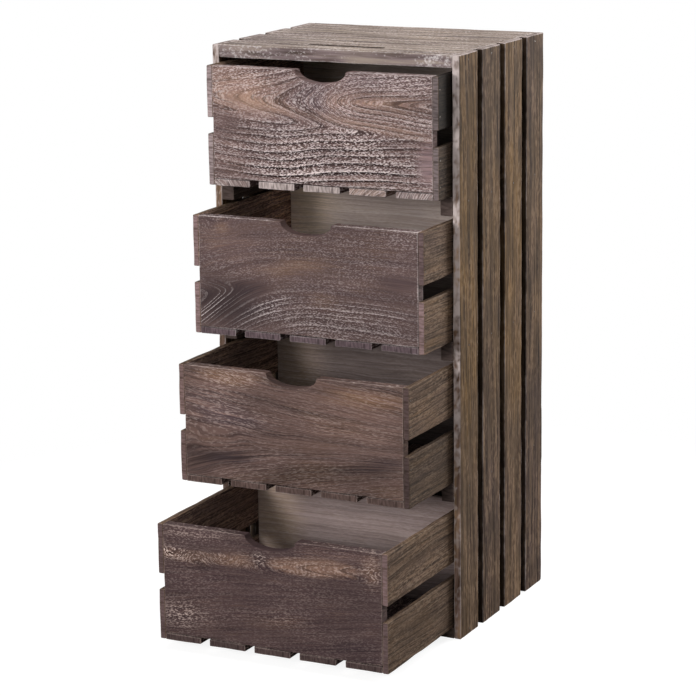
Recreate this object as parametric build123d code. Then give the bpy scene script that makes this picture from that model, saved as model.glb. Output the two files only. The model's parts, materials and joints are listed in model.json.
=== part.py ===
from build123d import *
import os

# Slatted tabletop chest of four drawers, in millimetres.
# The origin is the middle of the case's footprint on the floor. +X points right as seen from the front,
# the drawer fronts face -Y and +Z is up. Each drawer stands pulled out by its own amount.

# Case, outside
CASE_WIDTH = 304.0
CASE_DEPTH = 237.0

# Upright side slats
SLAT_COUNT = 4
SLAT_THICKNESS = 8.5
SLAT_GAP = 13.0

# Panels between the side slats
TOP_THICKNESS = 14.5
BOTTOM_THICKNESS = 12.4
BACK_THICKNESS = 5.0

# Slot through the top panel, with its centre line set back from the front edge
SLOT_LENGTH = 95.0
SLOT_WIDTH = 8.0
SLOT_SETBACK = 34.0

# Battens that the three upper drawers slide on
RUNNER_WIDTH = 15.0
RUNNER_HEIGHT = 22.0

# Drawer boxes, and the room that they have in the case
DRAWER_HEIGHT = 135.0
DRAWER_SIDE_CLEARANCE = 1.5
DRAWER_BACK_CLEARANCE = 4.0
HEADROOM = 5.0
BOTTOM_DRAWER_HEADROOM = 12.6
FRONT_THICKNESS = 13.0
BACK_BOARD_THICKNESS = 8.0
DRAWER_SIDE_THICKNESS = 7.0
DRAWER_SIDE_GAP = 18.0
FLOOR_SLAT_COUNT = 5
FLOOR_SLAT_THICKNESS = 8.0
FLOOR_SLAT_GAP = 11.2

# Finger notch in a drawer front: an arc, eased where it meets the top edge
NOTCH_WIDTH = 62.0
NOTCH_DEPTH = 15.0
NOTCH_EASE = 4.0

# How far each drawer is pulled out
TOP_DRAWER_OUT = 32.0
SECOND_DRAWER_OUT = 71.0
THIRD_DRAWER_OUT = 111.0
BOTTOM_DRAWER_OUT = 167.0

# Brads that hold the boards together, driven flush
BRAD_RADIUS = 0.6
BRAD_HEAD_RADIUS = 1.0
BRAD_HEAD_HEIGHT = 0.8
BRAD_POINT = 1.5
BRAD_LENGTH = 20.0
BRAD_CLEARANCE = 0.02

# Sanded flat on every board edge, and the most of a board's thickness that it may take
ARRIS = 0.8
ARRIS_LIMIT = 0.2

# Two rows of brads in one edge stand a third and two thirds across it, so that they never meet
FIRST_ROW = 1 / 3
SECOND_ROW = 2 / 3

PULLED_OUT = {
    "top_drawer": TOP_DRAWER_OUT,
    "second_drawer": SECOND_DRAWER_OUT,
    "third_drawer": THIRD_DRAWER_OUT,
    "bottom_drawer": BOTTOM_DRAWER_OUT,
}
SIDES = {"left": -1, "right": 1}

# Sizes that follow from those above
CASE_FRONT = -CASE_DEPTH / 2
CASE_BACK = CASE_DEPTH / 2
BACK_PANEL_FRONT = CASE_BACK - BACK_THICKNESS
BAY_HALF = CASE_WIDTH / 2 - SLAT_THICKNESS
SLAT_WIDTH = (CASE_DEPTH - (SLAT_COUNT - 1) * SLAT_GAP) / SLAT_COUNT
DRAWER_HALF = BAY_HALF - DRAWER_SIDE_CLEARANCE
DRAWER_DEPTH = CASE_DEPTH - BACK_THICKNESS - DRAWER_BACK_CLEARANCE
INSIDE_HALF = DRAWER_HALF - DRAWER_SIDE_THICKNESS
DRAWER_SLAT_HEIGHT = (DRAWER_HEIGHT - DRAWER_SIDE_GAP) / 2
FLOOR_SLAT_WIDTH = (2 * INSIDE_HALF - (FLOOR_SLAT_COUNT - 1) * FLOOR_SLAT_GAP) / FLOOR_SLAT_COUNT


def stack_heights():
    """Height of each drawer's underside and of the case, worked out from the floor up."""
    undersides = {}
    height = BOTTOM_THICKNESS
    for name in reversed(PULLED_OUT):
        undersides[name] = height
        headroom = BOTTOM_DRAWER_HEADROOM if name == "bottom_drawer" else HEADROOM
        height += DRAWER_HEIGHT + headroom + RUNNER_HEIGHT
    return undersides, height - RUNNER_HEIGHT + TOP_THICKNESS


UNDERSIDES, CASE_HEIGHT = stack_heights()
RUNNER_DRAWERS = [name for name in PULLED_OUT if name != "bottom_drawer"]


def sand(solid, thickness):
    """Take the sharp arris off every edge of a board."""
    return chamfer(solid.edges(), min(ARRIS, ARRIS_LIMIT * thickness))


def board(low, high):
    """A straight board between its lowest and highest corners, with sanded edges."""
    size = [b - a for a, b in zip(low, high)]
    middle = [(a + b) / 2 for a, b in zip(low, high)]
    return Pos(*middle) * sand(Box(*size), min(size))


def brad_shape(clearance=0.0):
    """A brad that points along +Z from its head at the origin, or the hole that takes it."""
    shank = BRAD_RADIUS + clearance
    head = BRAD_HEAD_RADIUS + clearance
    outline = Polyline(
        (0, 0),
        (head, 0),
        (head, BRAD_HEAD_HEIGHT + clearance),
        (shank, BRAD_HEAD_HEIGHT + clearance),
        (shank, BRAD_LENGTH - BRAD_POINT + clearance),
        (0, BRAD_LENGTH + clearance),
        close=True,
    )
    return revolve(Plane.XZ * make_face(outline), Axis.Z)


BRAD = brad_shape()
BRAD_HOLE = brad_shape(BRAD_CLEARANCE)


def across(side):
    """Turn for a brad driven in from one side of the chest towards the middle."""
    return Rot(0, -90 * side, 0)


def meets(first, second):
    """True where two bounding boxes overlap."""
    pairs = zip(first.min, first.max, second.min, second.max)
    return all(low < far and near < high for low, high, near, far in pairs)


def drill(solid, places):
    """Bore the holes of the brads that reach into this board."""
    around = solid.bounding_box()
    holes = [place * BRAD_HOLE for place in places]
    holes = [hole for hole in holes if meets(around, hole.bounding_box())]
    return solid - holes if holes else solid


def group(pieces):
    """Separate solids that share one node."""
    return Compound([solid for piece in pieces for solid in piece.solids()])


def slat_centre(index):
    """Middle of a side slat, counted from the front."""
    return CASE_FRONT + SLAT_WIDTH / 2 + index * (SLAT_WIDTH + SLAT_GAP)


def side_brad_places(side):
    """One brad at each place where a side slat crosses a panel or a runner."""
    heights = [BOTTOM_THICKNESS / 2, CASE_HEIGHT - TOP_THICKNESS / 2]
    heights += [UNDERSIDES[name] - FIRST_ROW * RUNNER_HEIGHT for name in RUNNER_DRAWERS]
    return [
        Pos(side * CASE_WIDTH / 2, slat_centre(index), height) * across(side)
        for index in range(SLAT_COUNT)
        for height in heights
    ]


def back_brad_places():
    """One brad through the back panel into the end of each runner."""
    x = BAY_HALF - RUNNER_WIDTH / 2
    return [
        Pos(side * x, CASE_BACK, UNDERSIDES[name] - SECOND_ROW * RUNNER_HEIGHT) * Rot(90, 0, 0)
        for side in SIDES.values()
        for name in RUNNER_DRAWERS
    ]


def side_slat(side, index):
    """One upright slat of a side, from the floor to the top."""
    inner, outer = sorted((side * BAY_HALF, side * CASE_WIDTH / 2))
    front = slat_centre(index) - SLAT_WIDTH / 2
    return board((inner, front, 0), (outer, front + SLAT_WIDTH, CASE_HEIGHT))


def runner(side, name):
    """The batten under one side of a drawer, from the case's front to the back panel."""
    inner, outer = sorted((side * (BAY_HALF - RUNNER_WIDTH), side * BAY_HALF))
    top = UNDERSIDES[name]
    return board((inner, CASE_FRONT, top - RUNNER_HEIGHT), (outer, BACK_PANEL_FRONT, top))


def top_panel():
    """The top, with its slot cut right through."""
    underside = CASE_HEIGHT - TOP_THICKNESS
    panel = board((-BAY_HALF, CASE_FRONT, underside), (BAY_HALF, CASE_BACK, CASE_HEIGHT))
    slot = extrude(SlotOverall(SLOT_LENGTH, SLOT_WIDTH), TOP_THICKNESS)
    return panel - Pos(0, CASE_FRONT + SLOT_SETBACK, underside) * slot


def case_parts():
    """The fixed case: slats, panels, runners and their brads."""
    brads = {name: side_brad_places(side) for name, side in SIDES.items()}
    back_brads = back_brad_places()
    places = brads["left"] + brads["right"] + back_brads
    boards = {
        "top_panel": top_panel(),
        "bottom_panel": board((-BAY_HALF, CASE_FRONT, 0), (BAY_HALF, CASE_BACK, BOTTOM_THICKNESS)),
        "back_panel": board(
            (-BAY_HALF, BACK_PANEL_FRONT, BOTTOM_THICKNESS),
            (BAY_HALF, CASE_BACK, CASE_HEIGHT - TOP_THICKNESS),
        ),
    }
    for side_name, side in SIDES.items():
        for index in range(SLAT_COUNT):
            boards[f"{side_name}_slat_{index + 1}"] = side_slat(side, index)
        for number, name in enumerate(RUNNER_DRAWERS, start=1):
            boards[f"{side_name}_runner_{number}"] = runner(side, name)
    made = {name: drill(solid, places) for name, solid in boards.items()}
    made["back_brads"] = group(place * BRAD for place in back_brads)
    for side_name in SIDES:
        made[f"{side_name}_side_brads"] = group(place * BRAD for place in brads[side_name])
    return made


def drawer_front():
    """A front board over the floor slats' ends, with a finger notch in its top edge."""
    radius = (NOTCH_WIDTH**2 / 4 + NOTCH_DEPTH**2) / (2 * NOTCH_DEPTH)
    height = DRAWER_HEIGHT - FLOOR_SLAT_THICKNESS
    outline = Pos(0, FLOOR_SLAT_THICKNESS + height / 2) * Rectangle(2 * INSIDE_HALF, height)
    outline -= Pos(0, DRAWER_HEIGHT - NOTCH_DEPTH + radius) * Circle(radius)
    lips = [corner for corner in outline.vertices() if abs(corner.X) < INSIDE_HALF - ARRIS]
    outline = fillet(lips, NOTCH_EASE)
    return sand(extrude(Plane.XZ * outline, -FRONT_THICKNESS), FRONT_THICKNESS)


def floor_slat_centre(index):
    """Middle of a floor slat, counted from the left."""
    return -INSIDE_HALF + FLOOR_SLAT_WIDTH / 2 + index * (FLOOR_SLAT_WIDTH + FLOOR_SLAT_GAP)


def drawer_brad_places():
    """Brads through the side slats and up through the floor slats, into the front and back boards."""
    back_board = DRAWER_DEPTH - BACK_BOARD_THICKNESS
    side_rows = (
        FIRST_ROW * FRONT_THICKNESS,
        back_board + SECOND_ROW * BACK_BOARD_THICKNESS,
    )
    floor_rows = (
        SECOND_ROW * FRONT_THICKNESS,
        back_board + FIRST_ROW * BACK_BOARD_THICKNESS,
    )
    slat_bottoms = (0, DRAWER_HEIGHT - DRAWER_SLAT_HEIGHT)
    heights = [low + share * DRAWER_SLAT_HEIGHT for low in slat_bottoms for share in (0.25, 0.75)]
    sides = [
        Pos(side * DRAWER_HALF, y, z) * across(side)
        for side in SIDES.values()
        for y in side_rows
        for z in heights
    ]
    floor = [Pos(floor_slat_centre(index), y, 0) for index in range(FLOOR_SLAT_COUNT) for y in floor_rows]
    return sides + floor


def drawer_parts():
    """One drawer box, with the middle of its front face's lower edge at the origin."""
    places = drawer_brad_places()
    back_board = DRAWER_DEPTH - BACK_BOARD_THICKNESS
    boards = {
        "front": drawer_front(),
        "back": board(
            (-INSIDE_HALF, back_board, FLOOR_SLAT_THICKNESS),
            (INSIDE_HALF, DRAWER_DEPTH, DRAWER_HEIGHT),
        ),
    }
    for side_name, side in SIDES.items():
        inner, outer = sorted((side * INSIDE_HALF, side * DRAWER_HALF))
        for row, low in (("lower", 0), ("upper", DRAWER_HEIGHT - DRAWER_SLAT_HEIGHT)):
            high = low + DRAWER_SLAT_HEIGHT
            boards[f"{side_name}_{row}_slat"] = board((inner, 0, low), (outer, DRAWER_DEPTH, high))
    floor_slats = []
    for index in range(FLOOR_SLAT_COUNT):
        left = floor_slat_centre(index) - FLOOR_SLAT_WIDTH / 2
        right = left + FLOOR_SLAT_WIDTH
        floor_slats.append(board((left, 0, 0), (right, DRAWER_DEPTH, FLOOR_SLAT_THICKNESS)))
    made = {name: drill(solid, places) for name, solid in boards.items()}
    made["floor_slats"] = group(drill(slat, places) for slat in floor_slats)
    made["brads"] = group(place * BRAD for place in places)
    return made


def chest_parts():
    """Every node of the chest by name, with each drawer in its place."""
    made = case_parts()
    drawer = drawer_parts()
    for name, travel in PULLED_OUT.items():
        place = Pos(0, CASE_FRONT - travel, UNDERSIDES[name])
        for piece, solid in drawer.items():
            made[f"{name}_{piece}"] = place * solid
    return made


os.makedirs("parts", exist_ok=True)
for node, shape in chest_parts().items():
    export_step(shape, f"parts/{node}.step")
print(f"case {CASE_WIDTH} x {CASE_DEPTH} x {CASE_HEIGHT:.1f} mm")
print(f"drawer {2 * DRAWER_HALF} x {DRAWER_DEPTH} x {DRAWER_HEIGHT} mm, undersides at {UNDERSIDES}")
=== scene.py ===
# %% [markdown]
# # A slatted chest of drawers in limed, dark-stained wood
# The CAD model already has every board at its real size and in its place. What is left to make here is
# the look of the wood: edges that handling has worn round, growth rings that run through each board,
# a dark stain, and pale lime rubbed into the open grain.

import json
import math
import random

import bpy
import numpy as np
from mathutils import Matrix, Vector, noise


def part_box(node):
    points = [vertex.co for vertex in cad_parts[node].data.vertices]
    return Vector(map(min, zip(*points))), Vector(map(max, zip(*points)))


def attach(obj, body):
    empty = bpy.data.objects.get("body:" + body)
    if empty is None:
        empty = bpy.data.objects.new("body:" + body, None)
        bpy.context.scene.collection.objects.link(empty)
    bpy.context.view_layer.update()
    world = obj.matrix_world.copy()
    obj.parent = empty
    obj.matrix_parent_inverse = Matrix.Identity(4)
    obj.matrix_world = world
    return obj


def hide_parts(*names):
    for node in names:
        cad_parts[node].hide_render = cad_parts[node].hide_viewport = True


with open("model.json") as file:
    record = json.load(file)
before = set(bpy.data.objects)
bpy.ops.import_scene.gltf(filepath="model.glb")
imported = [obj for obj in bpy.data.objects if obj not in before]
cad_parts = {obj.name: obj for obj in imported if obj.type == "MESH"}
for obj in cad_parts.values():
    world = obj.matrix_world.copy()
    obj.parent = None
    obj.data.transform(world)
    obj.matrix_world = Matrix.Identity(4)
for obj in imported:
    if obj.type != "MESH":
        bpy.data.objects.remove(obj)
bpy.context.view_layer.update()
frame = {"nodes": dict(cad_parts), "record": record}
MM = 0.001

# %% [markdown]
# ## The camera
# A product photograph like this is taken from a few metres away with a long lens, so that upright edges
# stay nearly parallel. The camera could be turned by eye until the picture fits. Here its place was worked
# out once, from the corners of the case and the drawers and from the outline, and is written as plain
# values.

# %% Camera
PHOTO_PIXELS = 696
FOCAL_PIXELS = 2635.1
SENSOR_MM = 36.0
CAMERA_PLACE = (1.3110, -2.6943, 0.9976)
TURN_LEFT = math.radians(26.724)
LOOK_DOWN = math.radians(13.119)
ROLL = math.radians(-0.738)

camera = bpy.data.objects.new("camera", bpy.data.cameras.new("camera"))
bpy.context.scene.collection.objects.link(camera)
camera.data.sensor_width = SENSOR_MM
camera.data.lens = SENSOR_MM * FOCAL_PIXELS / PHOTO_PIXELS
heading = Matrix.Rotation(TURN_LEFT, 4, "Z")
tilt = Matrix.Rotation(math.pi / 2 - LOOK_DOWN, 4, "X")
camera.matrix_world = Matrix.Translation(CAMERA_PLACE) @ heading @ tilt @ Matrix.Rotation(ROLL, 4, "Z")
bpy.context.scene.camera = camera
print(f"lens {camera.data.lens:.1f} mm")

# %% [markdown]
# ## Small tools for materials
# Every material below is a small graph of nodes. One function adds a node, sets its properties, and fills
# each input with a value or a link. The others add the kinds of node that are needed most. Colours are
# written as sRGB hex values, as a paint program shows them, and turned into a shader's linear values.

# %% Node and colour helpers
def linear(code):
    """sRGB hex colour to linear RGBA."""
    channels = [int(code[at:at + 2], 16) / 255 for at in (1, 3, 5)]
    return [c / 12.92 if c <= 0.04045 else ((c + 0.055) / 1.055) ** 2.4 for c in channels] + [1.0]


def add(tree, kind, inputs=(), out=0, **settings):
    """Add one node with its settings, values and links, and return one of its outputs."""
    node = tree.nodes.new(kind)
    for name, value in settings.items():
        setattr(node, name, value)
    for name, value in dict(inputs).items():
        if isinstance(value, bpy.types.NodeSocket):
            tree.links.new(value, node.inputs[name])
        else:
            node.inputs[name].default_value = value
    return None if out is None else node.outputs[out]


def calc(tree, operation, *values, **settings):
    """One number worked out from others."""
    return add(tree, "ShaderNodeMath", dict(enumerate(values)), operation=operation, **settings)


def ramp(tree, value, start, end, low=0.0, high=1.0, **settings):
    """A number that goes from low to high while a value goes from start to end."""
    return add(tree, "ShaderNodeMapRange", {0: value, 1: start, 2: end, 3: low, 4: high}, **settings)


def blend(tree, amount, one, other):
    """A mix of two colours, which a mix node takes at its inputs 6 and 7 and gives at its output 2."""
    return add(tree, "ShaderNodeMix", {0: amount, 6: one, 7: other}, out=2, data_type="RGBA")


def cloud(tree, place, scale, detail=1.0, twist=0.0):
    """Noise with a scale of its own along each axis."""
    at = add(tree, "ShaderNodeVectorMath", {0: place, 1: scale}, operation="MULTIPLY")
    inputs = {"Vector": at, "Scale": 1.0, "Detail": detail, "Distortion": twist}
    return add(tree, "ShaderNodeTexNoise", inputs)


def new_material(name):
    """An empty material and its node tree."""
    material = bpy.data.materials.new(name)
    material.use_nodes = True
    material.node_tree.nodes.clear()
    return material, material.node_tree


# %% [markdown]
# ## Studio light
# The photograph has a plain white background and broad, soft light from the front, a little from the left
# and above. Large area lamps give soft shadows, and a pale world fills them. The camera sees pure white
# behind the object, but the object is lit by a dimmer world, so that its colours come out as written.

# %% World and lamps
WORLD_FILL = 0.18
LAMPS = {
    # name: place, size and power in watts
    "key": ((-0.95, -2.8, 1.05), 0.7, 48.0),
    "front_fill": ((0.3, -3.0, 1.3), 1.8, 26.0),
    "overhead": ((0.2, -0.2, 2.4), 1.6, 22.0),
    "right_back": ((1.5, 2.0, 1.1), 1.2, 72.0),
}
AIM = Vector((0.0, -0.08, 0.33))

world = bpy.data.worlds.new("studio")
bpy.context.scene.world = world
world.use_nodes = True
tree = world.node_tree
tree.nodes.clear()
path = add(tree, "ShaderNodeLightPath", out="Is Camera Ray")
seen = path
for ray in ("Is Glossy Ray", "Is Transmission Ray"):
    seen = calc(tree, "MAXIMUM", seen, path.node.outputs[ray])
level = ramp(tree, seen, 0.0, 1.0, WORLD_FILL, 1.0)
sky = add(tree, "ShaderNodeBackground", {"Color": (1, 1, 1, 1), "Strength": level})
add(tree, "ShaderNodeOutputWorld", {"Surface": sky}, out=None)

for name, (place, size, power) in LAMPS.items():
    lamp = bpy.data.objects.new(name, bpy.data.lights.new(name, "AREA"))
    bpy.context.scene.collection.objects.link(lamp)
    lamp.data.size = size
    lamp.data.energy = power
    lamp.location = place
    lamp.rotation_mode = "QUATERNION"
    lamp.rotation_quaternion = (AIM - Vector(place)).to_track_quat("-Z", "Y")
print(f"{len(LAMPS)} lamps")

# %% [markdown]
# ## The floor
# A sheet of white paper. To the camera it is almost a flat white, with a little of its real shading left
# in close to the chest, so that the chest keeps a faint shadow to stand on. Further out it fades to the
# white of the background. For all other light it is plain pale paper.

# %% Floor
FLOOR_HALF = 6.0
PAPER = "#8c8b89"
PAPER_GLOW = 0.86
PAPER_SHADING = "#949392"
FADE_START, FADE_END = 0.3, 0.8

floor_mesh = bpy.data.meshes.new("floor")
corners = [(-FLOOR_HALF, -FLOOR_HALF, 0), (FLOOR_HALF, -FLOOR_HALF, 0)]
corners += [(FLOOR_HALF, FLOOR_HALF, 0), (-FLOOR_HALF, FLOOR_HALF, 0)]
floor_mesh.from_pydata(corners, [], [(0, 1, 2, 3)])
floor = bpy.data.objects.new("floor", floor_mesh)
bpy.context.scene.collection.objects.link(floor)
paper, tree = new_material("white_paper")
path = add(tree, "ShaderNodeLightPath", out="Is Camera Ray")
shaded = add(tree, "ShaderNodeBsdfDiffuse", {"Color": linear(PAPER_SHADING)})
glow = add(tree, "ShaderNodeEmission", {"Strength": PAPER_GLOW})
bright = add(tree, "ShaderNodeAddShader", {0: shaded, 1: glow})
white = add(tree, "ShaderNodeEmission", {"Strength": 1.0})
place = add(tree, "ShaderNodeTexCoord", out="Object")
distance = add(tree, "ShaderNodeVectorMath", {0: place}, out="Value", operation="LENGTH")
fade = ramp(tree, distance, FADE_START, FADE_END)
seen = add(tree, "ShaderNodeMixShader", {0: fade, 1: bright, 2: white})
plain = add(tree, "ShaderNodeBsdfDiffuse", {"Color": linear(PAPER)})
both = add(tree, "ShaderNodeMixShader", {0: path, 1: plain, 2: seen})
add(tree, "ShaderNodeOutputMaterial", {"Surface": both}, out=None)
floor_mesh.materials.append(paper)
print(f"floor {2 * FLOOR_HALF:.0f} m square")

# %% [markdown]
# ## A board with worn edges
# A sawn board could stay a plain box, but a real one has no sharp edge left: sanding and handling round
# it, more in one place than in another. So each board is made anew as a box whose six sides carry a
# lattice, with its lines close together near the edges. Each point near an edge is then pulled onto a
# round of changing radius. The faces also sink a hair, unevenly, as planed wood does.

# %% Lattice box
X, Y, Z = 0, 1, 2
# The lines near an edge lie at these depths, but only in the outer part of a thin side.
EDGE_LINES = [line * MM for line in (0.0, 0.35, 0.9, 1.8, 3.6)]
OUTER_PART = 0.45


def lattice_lines(low, high, step, fine=()):
    """Places of the lattice lines across one side, close together near both ends and wherever fine says."""
    near = [line for line in EDGE_LINES if line < OUTER_PART * (high - low)]
    inner = high - low - 2 * near[-1]
    count = max(1, math.ceil(inner / step))
    middle = [low + near[-1] + inner * n / count for n in range(1, count)]
    if len(fine):
        middle = sorted([line for line in middle if not fine[0] <= line <= fine[-1]] + list(fine))
    return [low + line for line in near] + middle + [high - line for line in reversed(near)]


def lattice_box(low, high, step, fine_x=()):
    """Points and outward-facing quads of a box with lattice lines on all six sides."""
    lines = [lattice_lines(low[axis], high[axis], step, fine_x if axis == X else ()) for axis in (X, Y, Z)]
    last = [len(row) - 1 for row in lines]
    index, quads = {}, []
    for axis in (X, Y, Z):
        first, second = (axis + 1) % 3, (axis + 2) % 3
        for side in (0, last[axis]):
            for a in range(last[first]):
                for b in range(last[second]):
                    quad = []
                    for da, db in ((0, 0), (1, 0), (1, 1), (0, 1)):
                        key = [side, side, side]
                        key[first], key[second] = a + da, b + db
                        quad.append(index.setdefault(tuple(key), len(index)))
                    quads.append(quad if side else quad[::-1])
    points = np.array([[lines[axis][key[axis]] for axis in (X, Y, Z)] for key in index])
    return points, quads


# %% Worn edges
# The radius changes slowly along an edge and grows at dents, up to a share of the board's thickness. Each
# board's seed takes it to another part of the noise.
WORN_RADIUS, WORN_LEAST, WORN_MOST = 1.0 * MM, 0.3 * MM, 2.6 * MM
WORN_LENGTH, WORN_CHANGE, WORN_SHARE = 28.0 * MM, 0.8, 0.3
DENT_LENGTH, DENT_START, DENT_RADIUS = 7.0 * MM, 0.35, 3.0 * MM
SKIN_LEAST, SKIN_MOST = 0.05 * MM, 0.25 * MM
SEED_STEP = 100


def wear(points, low, high, seed):
    """Pull the points of a lattice box onto unevenly rounded edges and slightly uneven faces."""
    low, high = np.array(low), np.array(high)
    offset = Vector((seed * SEED_STEP, 0, 0))
    slow = np.array([noise.noise(Vector(p) / WORN_LENGTH + offset) for p in points])
    quick = np.array([noise.noise(Vector(p) / DENT_LENGTH - offset) for p in points])
    radius = WORN_RADIUS * (1.0 + WORN_CHANGE * slow) + DENT_RADIUS * np.clip(quick - DENT_START, 0, 1)
    radius = np.clip(radius, WORN_LEAST, min(WORN_MOST, WORN_SHARE * (high - low).min()))[:, None]
    skin = SKIN_LEAST + (SKIN_MOST - SKIN_LEAST) * np.clip(0.5 + slow, 0, 1)[:, None]
    core = np.clip(points, low + skin + radius, high - skin - radius)
    out = points - core
    return core + radius * out / np.linalg.norm(out, axis=1)[:, None]


# %% [markdown]
# ## Rings through a board
# Wood grain isn't a picture stuck on a board. Its rings go right through, so that the face, edge and end of
# one board fit together. A flat stripe pattern could be laid on each face, but it would part at the edges.
# Here every point of a board instead knows how far from the pith it grew, in millimetres, and the shader
# draws rings, streaks and flecks along the lines where that distance is the same.

# %% Rings of a plain board
def soft_size(value, soft):
    """How large a value is, whatever its sign, rounded off near zero."""
    return np.sqrt(value**2 + soft**2)


def ease(value):
    """A smooth step from 0 to 1 around zero."""
    return 0.5 + 0.5 * np.tanh(value / 2)


def swell(value, soft):
    """0 below zero, then growing with the value, rounded off near zero."""
    return (value + soft_size(value, soft)) / 2


def hill(along, across, centre, half, slope=0.0, firm=3.0):
    """1 around a centre and 0 well past its half sizes, in millimetres. It may lean and be soft or firm."""
    u = (along - centre[0]) / half[0]
    v = (across - centre[1] - slope * (along - centre[0])) / half[1]
    return np.exp(-((u**2 + v**2) ** firm))


def plain_rings(along, across, through, cut):
    """Distance from a pith that lies beside the board and leans a little."""
    aside = across - cut["pith"] - cut["tilt"] * along
    away = cut["depth"] + cut["lean"] * along + through
    return np.hypot(aside, away)


# %% [markdown]
# ## What else a point knows
# The finish isn't the same all over a board either. Hands wear the edges pale, ends drink more stain, and
# lime stays where it was rubbed in. So each point also knows how near it is to an edge and to a sawn end,
# how much lime wash its face got, how light, tan and limed its part of the board is, and how clearly the
# rings show there. How light a part is also holds the painted shade and painted light that some boards get.

# %% Marks on a board
# Boards are cut from far-apart places of one long log, so that no two have the same grain.
LOG_LENGTH = 4000.0
EDGE_REACH = 2.6 * MM
END_REACH = 0.4 * MM
FACE_REACH = 0.5 * MM
# How a zone fades at its rim, and a half size that makes it reach over the whole board.
SOFT, FIRM = 1.5, 5.0
WHOLE = 400


def board_marks(flat, points, low, high, axes, cut):
    """Everything that the shader reads at each point of a board."""
    low, high = np.array(low), np.array(high)
    middle = (low + high) / 2
    along, across, through = ((points[:, axis] - middle[axis]) / MM for axis in axes)
    depth = np.minimum(flat - low, high - flat)
    edge = np.clip(1 - np.sort(depth, axis=1)[:, 1] / EDGE_REACH, 0, 1)
    end = cut["sawn"] * np.clip(1 - depth[:, axes[0]] / END_REACH, 0, 1)
    # Lightness holds the board's own finish and, on some boards, painted shade and painted light.
    finish_and_painted_light = np.tile(np.array([cut["light"], cut["tan"], cut["lime"], cut["line"]]), (len(points), 1))
    for centre, half, slope, change, *firm in cut["zones"]:
        share = hill(along, across, centre, half, slope, *(firm or [SOFT]))
        finish_and_painted_light += share[:, None] * np.array(change)
    wash = np.zeros(len(points))
    board = finish_and_painted_light.copy()
    for axis, side, light, tan, amount, *washes in cut["faces"]:
        gap = flat[:, axis] - low[axis] if side < 0 else high[axis] - flat[:, axis]
        on_face = gap < FACE_REACH
        finish_and_painted_light[on_face, 0] = board[on_face, 0] * light
        finish_and_painted_light[on_face, 1] = board[on_face, 1] + tan
        wash[on_face] = amount
        if amount:
            finish_and_painted_light[on_face, 2] = 0
        for centre, half, more in washes:
            wash[on_face] += more * hill(along, 0, (centre, 0), (half, 1))[on_face]
    grain = np.stack([along + cut["seed"] * LOG_LENGTH, across, through], axis=1)
    ring = cut["rings"](along, across, through, cut)
    marks = {"grain": grain, "ring": ring, "finish_and_painted_light": finish_and_painted_light[:, :3], "line": finish_and_painted_light[:, 3]}
    return {**marks, "edge": edge, "end": end, "wash": wash}


def usual_cut(name, **chosen):
    """A likely cut for a board, always the same for one name, with any value given in its place."""
    draw = random.Random(name)
    # The pith is so many millimetres beside and below the board, and leans and tilts by a slope.
    cut = {
        "rings": plain_rings,
        "seed": draw.uniform(0, 1),
        "pith": draw.choice((-1, 1)) * draw.uniform(50, 120),
        "depth": draw.uniform(30, 90),
        "lean": draw.uniform(-0.03, 0.03),
        "tilt": draw.uniform(-0.03, 0.03),
        "light": draw.uniform(0.93, 1.07),
        "tan": draw.uniform(-0.15, 0.2),
        "lime": 1.0,
        "line": 1.0,
        "sawn": 1.0,
        "zones": (),
        "faces": (),
    }
    return {**cut, **chosen}


# %% [markdown]
# ## From boards to pieces
# A piece is one or more worn boards in one mesh. It takes over the place of its CAD node and moves with
# that node's body.

# %% Make a piece
SHARP_ANGLE = math.radians(50)
BODY_OF = {node: body for body, nodes in frame["record"]["behaviour"]["bodies"].items() for node in nodes}


def store_marks(mesh, marks):
    """Write the marks of all points as attributes of the mesh."""
    for name, values in marks.items():
        kind, field = ("FLOAT_VECTOR", "vector") if values.ndim == 2 else ("FLOAT", "value")
        attribute = mesh.attributes.new(name, kind, "POINT")
        attribute.data.foreach_set(field, values.astype(np.float32).ravel())


def make_piece(node, boards, material):
    """One mesh of worn boards that stands for a CAD node. A board is points, quads and marks."""
    mesh = bpy.data.meshes.new(f"worn_{node}")
    points = np.concatenate([board_points for board_points, _, _ in boards])
    quads, start = [], 0
    for board_points, board_quads, _ in boards:
        quads += [[corner + start for corner in quad] for quad in board_quads]
        start += len(board_points)
    mesh.from_pydata(points.tolist(), [], quads)
    kinds = boards[0][2]
    store_marks(mesh, {kind: np.concatenate([marks[kind] for _, _, marks in boards]) for kind in kinds})
    mesh.shade_smooth()
    mesh.set_sharp_from_angle(angle=SHARP_ANGLE)
    mesh.materials.append(material)
    piece = bpy.data.objects.new(f"worn_{node}", mesh)
    bpy.context.scene.collection.objects.link(piece)
    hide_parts(node)
    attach(piece, BODY_OF[node])
    return piece


def straight_board(low, high, axes, cut, step):
    """Points, quads and marks of one worn board."""
    flat, quads = lattice_box(low, high, step)
    points = wear(flat, low, high, cut["seed"])
    return points, quads, board_marks(flat, points, low, high, axes, cut)


# %% [markdown]
# ## Limed, stained paulownia
# Such chests are made of paulownia, a light softwood-like timber with wide rings and large open pores. It
# is scorched or stained dark, brushed so that the soft early wood sinks, and rubbed with lime, which stays
# in the rows of pores that start each ring and on worn edges. To the eye that gives dark late-wood lines,
# pale rows and short pale flecks that follow the rings, and a dry, matt face. A photograph of wood would
# look the same on every board, so the rings are worked out from the distance to the pith, and streaks and
# flecks are clouds of noise stretched along them.

# %% Rings and noise in the shader
# Sizes in millimetres along and across the grain. Real pores are about 0.3 mm wide, finer than the picture
# can show, so the flecks are drawn as clusters of pores.
SWAY, RIPPLE = (260.0, 75.0), (70.0, 22.0)
BAND = (180.0, 12.0)
FLECK_TWIST = 0.3
# Noise strays by about a quarter from its middle, so four times as much of it moves a ring by its sway.
NOISE_MIDDLE, NOISE_GAIN = 0.5, 4
RING_DRIFT = 0.4


def read(tree, mark, out="Fac"):
    """One of the marks that each point of the mesh carries."""
    return add(tree, "ShaderNodeAttribute", out=out, attribute_name=mark)


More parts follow.
